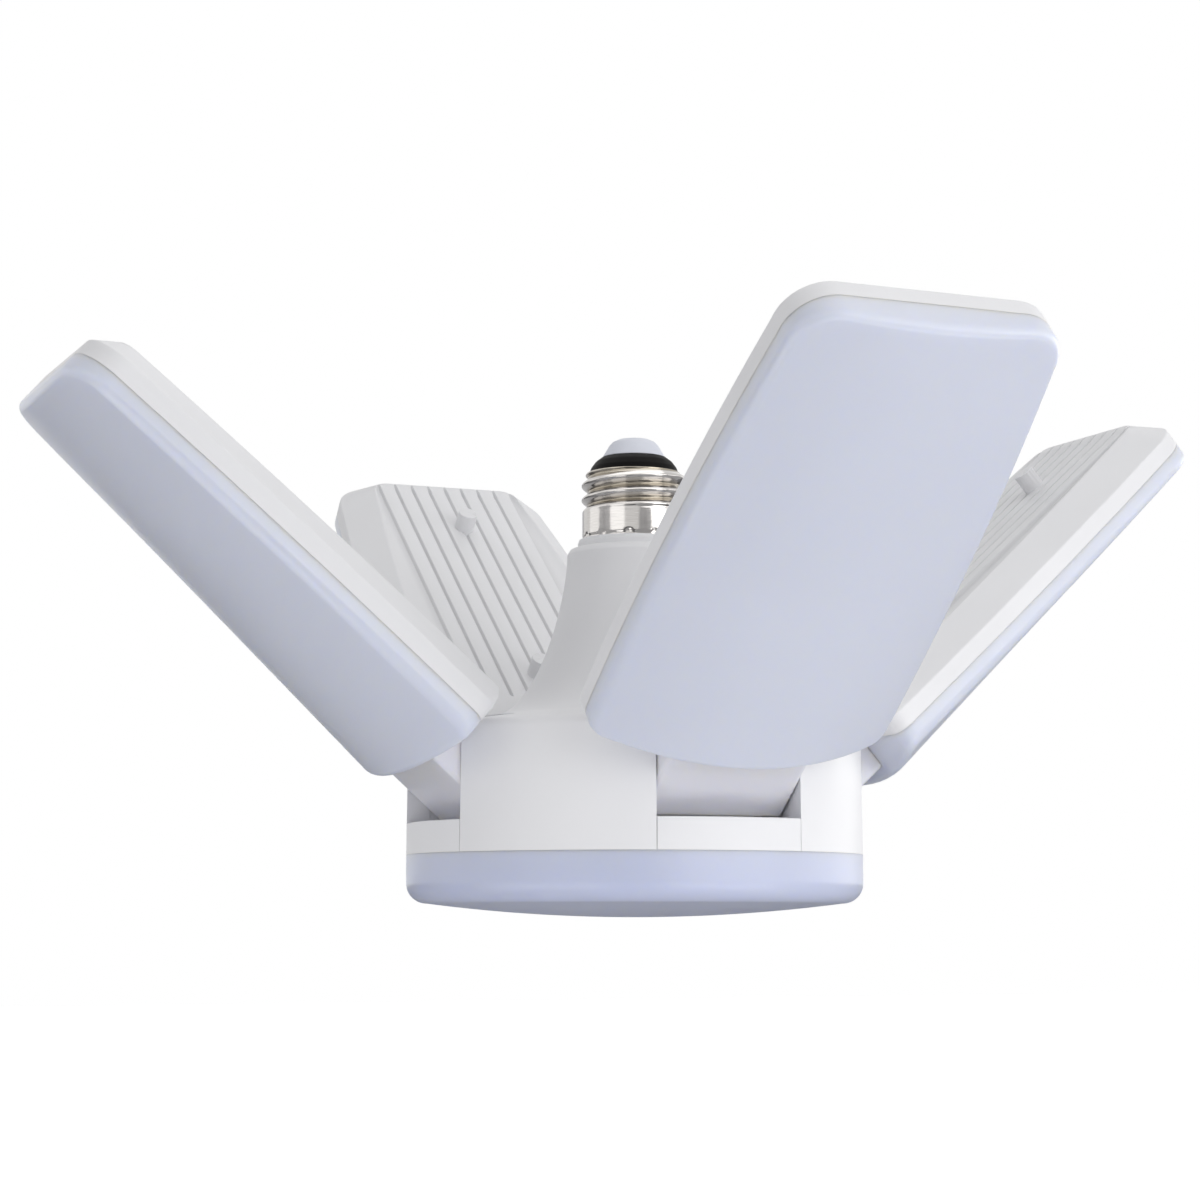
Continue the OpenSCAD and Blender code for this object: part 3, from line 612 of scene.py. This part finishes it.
def build_housing():
    body = "housing"
    piece("contact_button", contact_mesh(), CONTACT, body, ["end_contact"])
    piece("insulator_cone", insulator_mesh(), INSULATOR, body, ["base_insulator"])
    piece("rolled_screw_shell", shell_mesh(), SHELL, body, ["screw_shell"])
    piece("flared_housing", housing_mesh(), WHITE, body, ["upper_housing"])
    piece("centre_diffuser", centre_mesh(), SHADED_CENTRE, body, ["centre_lens"])
    piece("slot_chassis", chassis_mesh(), WHITE, body, ["lower_chassis"])


# ---- leaves, in the leaf's own frame: X out from the hinge, Z to the ribbed back ----

def at_height(outline, z):
    return [(x, y, z) for x, y in outline]


def casing_mesh():
    """White back of a leaf: upright rim, chamfer, coves beside the ribs, and the ribs."""
    heights = [0.1, 1.5, SIDE_H - 1.2] + [SIDE_H - 0.8 + 0.2 * k for k in range(9)]
    heights += [6.2, 7.4, 8.6] + [BACK_H - 1.2 + 0.1 * k for k in range(13)]
    edges = [rounded([(0, -1, 0), (0, SIDE_H, 0.5), (inset, BACK_H, 0.6), (inset + 4, BACK_H, 0)], 12)
             for inset in BACK_INSETS]

    def inset_at(edge, h):
        for (a, low), (b, high) in zip(edge, edge[1:]):
            if low <= h <= high and high > low:
                return a + (b - a) * (h - low) / (high - low)
        return edge[-2][0]

    rings = [at_height(leaf_outline(0.0), RIM + 0.01)]
    for h in heights:
        insets = tuple(inset_at(edge, h) for edge in edges)
        rings.append(at_height(leaf_outline(insets), RIM + h))
    mesh = cut(loft("casing", rings), rib_cutter())
    # Marks where painted shade darkens the grooves and the coves beside the outer ribs.
    mark(mesh, painted_shade_at)
    return mesh


def painted_shade_at(p):
    """Painted shade that gathers in the grooves and beside the outer ribs."""
    if not RIB_START - 0.5 < p.x < LEAF_END - 5.5:
        return 0.0
    beside = 1.0 - eased((abs(p.y) - RIBS_HALF) / 2.5)
    return beside * min(1.0, (RIB_TOP - 0.15 - p.z) / 0.4)


def rib_cutter():
    """Coves beside the outer ribs, and the grooves between the ribs, drawn along the leaf.

    Across a rib, u runs from -1 to 1, and the grooves lie at its ends.
    """
    steps = 20

    def section(x, lift):
        ridge = max(side_y(x, BACK_INSETS) - 0.4, RIBS_HALF + 0.3)
        cove = [(RIBS_HALF + (ridge - RIBS_HALF) * k / 8, RIB_TOP - GROOVE_DEPTH * (1 - (k / 8) ** 2))
                for k in range(1, 9)] + [(ridge + 3, RIB_TOP + 1.5)]
        lower = [(-y, z) for y, z in reversed(cove)]
        for k in range(RIB_COUNT):
            for step in range(1 if k else 0, steps + 1):
                u = 2 * step / steps - 1
                groove = eased((abs(u) - GROOVE_FROM) / GROOVE_SLOPE)
                dip = RIB_CROWN * u * u + (GROOVE_DEPTH - RIB_CROWN) * groove
                lower.append(((k - (RIB_COUNT - 1) / 2 + u / 2) * RIB_PITCH, RIB_TOP - dip))
        points = [(x, y, z + lift) for y, z in lower + cove]
        return points + [(x, ridge + 3, RIB_TOP + 6), (x, -ridge - 3, RIB_TOP + 6)]

    full = RIB_START + 0.7
    rings = [section(RIB_START, GROOVE_DEPTH + 0.2)]
    rings += [section(full + (RIB_END - full) * k / 12, 0.0) for k in range(13)]
    rings += [section(RIB_END + k, 0.6 * eased(k / 4)) for k in range(1, 5)]
    rings.append(section(LEAF_END + 4, 0.6))
    return loft("ribs", rings)


def peg_mesh(x):
    """Round peg on a leaf's back, with its root sunk into the ribs."""
    outline = rounded([(0.02, RIB_TOP + PEG_H, 0), (PEG_R, RIB_TOP + PEG_H, 0.25),
                       (PEG_R, RIB_TOP - 0.5, 0.3), (PEG_R + 0.6, RIB_TOP - 1.3, 0),
                       (0.02, RIB_TOP - 1.3, 0)], 5)
    return moved(lathe("peg", outline, 64), shift(x, 0, 0))


def face_depth(x, y):
    """Depth of the crowned light face below the rim."""
    t = min(1, max(0, (x - LEAF_START) / LEAF_LEN))
    across = y / leaf_half(x)
    crown = INNER_CROWN + (OUTER_CROWN - INNER_CROWN) * t
    return FACE_EDGE_H + crown * max(0, 1 - across * across)


def lens_mesh():
    """Crowned light face with rounded edges, running up to the casing's rim."""
    middle = (LEAF_START + LEAF_END) / 2
    edge = leaf_outline(FACE_EDGE_R)
    rings = []
    for k in range(1, 25):
        scale = 0.02 + 0.98 * k / 25
        ring = [(middle + (x - middle) * scale, y * scale) for x, y in edge]
        rings.append([(x, y, RIM - face_depth(x, y)) for x, y in ring])
    for k in range(13):
        a = math.radians(90 - 90 * k / 12)
        inset = FACE_EDGE_R * (1 - math.cos(a))
        lift = FACE_EDGE_R * (1 - math.sin(a))
        outline = leaf_outline(inset)
        rings.append([(x, y, RIM - face_depth(x, y) + lift) for x, y in outline])
    rings.append(at_height(leaf_outline(0.0), RIM - 0.01))
    return loft("lens", rings)


def drum(name, r, low, high, edge=0.0):
    """Round bar along Y with its end edges rounded."""
    profile = rounded([(0.02, high, 0), (r, high, edge), (r, low, edge), (0.02, low, 0)], 5)
    return turned_y(lathe(name, profile, 96))


def knuckle_mesh():
    """Barrel round the axle with seats for its washers, and the hollow arm that carries the leaf."""
    half, low, high = KNUCKLE_HALF, -KNUCKLE_R, RIM + 5
    section = rounded([(0, low, 0), (half, low, 1.3), (half, high, 0)])
    section += [(-y, z) for y, z in reversed(section[1:])]
    arm = loft("arm", [[(x, y, z) for y, z in section] for x in (-KNUCKLE_HEEL, LEAF_START - 0.02)])
    body = join(drum("barrel", KNUCKLE_R, -half, half, 1.2), arm)
    return cut(body, drum("bore", AXLE_R, -30, 30), drum("seat", SEAT_BORE_R, WASHER_SEAT, 25),
               drum("seat", SEAT_BORE_R, -25, -WASHER_SEAT),
               block("hollow", *ARM_HOLLOW), block("lead_slot", *LEAD_SLOT))


def leaf_matrix(leaf):
    """Puts a mesh made in a leaf's own frame where that leaf is at rest."""
    turn = Matrix.Rotation(math.radians(AZIMUTH[leaf]), 4, "Z")
    tilt = Matrix.Rotation(math.radians(-TILT[leaf]), 4, "Y")
    return turn @ shift(HINGE_R, 0, HINGE_Z) @ tilt


def build_leaves():
    casing = join(casing_mesh(), *[peg_mesh(x) for x in PEG_PLACES])
    lens = lens_mesh()
    knuckle = knuckle_mesh()
    for leaf in LEAVES:
        place = leaf_matrix(leaf)
        for name, mesh, material, slot, node in (
                ("_ribbed_casing", casing, CASING, "white_plastic", "_casing"),
                ("_crowned_lens", lens, DIFFUSER, "diffuser", "_lens"),
                ("_knuckle", knuckle, KNUCKLE, "knuckle_plastic", "_hinge_arm")):
            piece(leaf + name, moved(mesh.copy(), place), material, leaf + "_leaf", [leaf + node])


# ---- stage, lights and camera ----

CAMERA_AT = (-277.4, -612.3, -119.5)
CAMERA_LOOK = (0.3984, 0.9097, 0.1171)
LENS_MM = 81.64
OBJECT_MIDDLE = (0.0, 0.0, -60.0)
FLOOR_Z = -420.0
FLOOR_GLOW, WORLD_LIGHT = 0.95, 0.2


def white_to_camera(strength, diffuse):
    """Pale floor that the camera sees as white paper, and that still takes the object's shadow."""
    n = Nodes("floor_paper")
    tone = n.ramp(n.noise(3.0), tuple(c * 0.99 for c in diffuse), diffuse)
    n.link(tone, n.shader.inputs["Base Color"])
    n.shader.inputs["Roughness"].default_value = 0.9
    n.shader.inputs["Specular IOR Level"].default_value = 0.1
    path = n.tree.nodes.new("ShaderNodeLightPath")
    glow = n.add("ShaderNodeMath", operation="MULTIPLY")
    n.link(path.outputs["Is Camera Ray"], glow.inputs[0])
    glow.inputs[1].default_value = strength
    n.shader.inputs["Emission Color"].default_value = (1, 1, 1, 1)
    n.link(glow.outputs[0], n.shader.inputs["Emission Strength"])
    return n.material


def build_stage():
    size = 9000.0
    mesh = mesh_of("floor", [(-size, -size, FLOOR_Z), (size, -size, FLOOR_Z),
                             (size, size, FLOOR_Z), (-size, size, FLOOR_Z)], [(0, 1, 2, 3)])
    mesh.materials.append(white_to_camera(FLOOR_GLOW, linear(185, 185, 188)))
    floor = put("floor", mesh)


def build_world(strength):
    """Soft even light; the camera, gloss and clear parts see plain white instead."""
    world = bpy.data.worlds.new("studio")
    bpy.context.scene.world = world
    world.use_nodes = True
    tree = world.node_tree
    tree.nodes.clear()
    path = tree.nodes.new("ShaderNodeLightPath")

    def background(colour, strength):
        node = tree.nodes.new("ShaderNodeBackground")
        node.inputs["Color"].default_value = (*colour, 1)
        node.inputs["Strength"].default_value = strength
        return node.outputs[0]

    plain = path.outputs["Is Camera Ray"]
    for ray in ("Is Glossy Ray", "Is Transmission Ray"):
        either = tree.nodes.new("ShaderNodeMath")
        either.operation = "MAXIMUM"
        tree.links.new(plain, either.inputs[0])
        tree.links.new(path.outputs[ray], either.inputs[1])
        plain = either.outputs[0]
    mix = tree.nodes.new("ShaderNodeMixShader")
    out = tree.nodes.new("ShaderNodeOutputWorld")
    tree.links.new(plain, mix.inputs["Fac"])
    tree.links.new(background((0.98, 0.985, 1.0), strength), mix.inputs[1])
    tree.links.new(background((1, 1, 1), 1.0), mix.inputs[2])
    tree.links.new(mix.outputs[0], out.inputs["Surface"])


def area_light(name, at, look, size, power):
    """Rectangular softbox at one place, turned to another."""
    data = bpy.data.lights.new(name, "AREA")
    data.shape = "RECTANGLE"
    data.size, data.size_y = size[0] * MM, size[1] * MM
    data.energy = power
    obj = put(name, data)
    obj.location = Vector(at) * MM
    direction = (Vector(look) - Vector(at)).normalized()
    obj.rotation_euler = direction.to_track_quat("-Z", "Y").to_euler()


def round_the_object(right, up, distance):
    """Place at an angle to the right of the camera, as the object sees it, and an angle up."""
    turn = math.atan2(CAMERA_AT[1], CAMERA_AT[0]) + math.radians(right)
    up = math.radians(up)
    return (distance * math.cos(up) * math.cos(turn), distance * math.cos(up) * math.sin(turn),
            OBJECT_MIDDLE[2] + distance * math.sin(up))


def build_lights():
    """Studio softboxes: name, degrees right of the camera, degrees up, distance, size and watts."""
    for name, right, up, distance, size, watts in (
            ("front_right_box", 47, 6, 950, (1050, 420), 3.05),
            ("back_right_box", 110, 6, 950, (1050, 420), 1.9),
            ("high_right_box", 45, 35, 1000, (700, 700), 1.6),
            ("front_left_box", -40, 10, 1000, (700, 700), 1.1),
            ("left_box", -90, 5, 1000, (900, 900), 1.15),
            ("low_right_box", 45, -33, 520, (500, 300), 0.86),
            ("low_left_box", -45, -33, 520, (500, 300), 0.81),
            ("top_box", 0, 90, 1000, (1200, 1200), 4.1)):
        area_light(name, round_the_object(right, up, distance), OBJECT_MIDDLE, size, watts)


def build_camera():
    data = bpy.data.cameras.new("camera")
    data.lens = LENS_MM
    data.sensor_width = 36.0
    data.clip_end = 60
    camera = put("camera", data)
    camera.location = Vector(CAMERA_AT) * MM
    camera.rotation_euler = Vector(CAMERA_LOOK).to_track_quat("-Z", "Y").to_euler()
    bpy.context.scene.camera = camera


build_camera()
build_world(WORLD_LIGHT)
build_stage()
build_lights()
dress_cad_nodes()
build_housing()
build_leaves()

bpy.context.scene.view_settings.view_transform = "Standard"
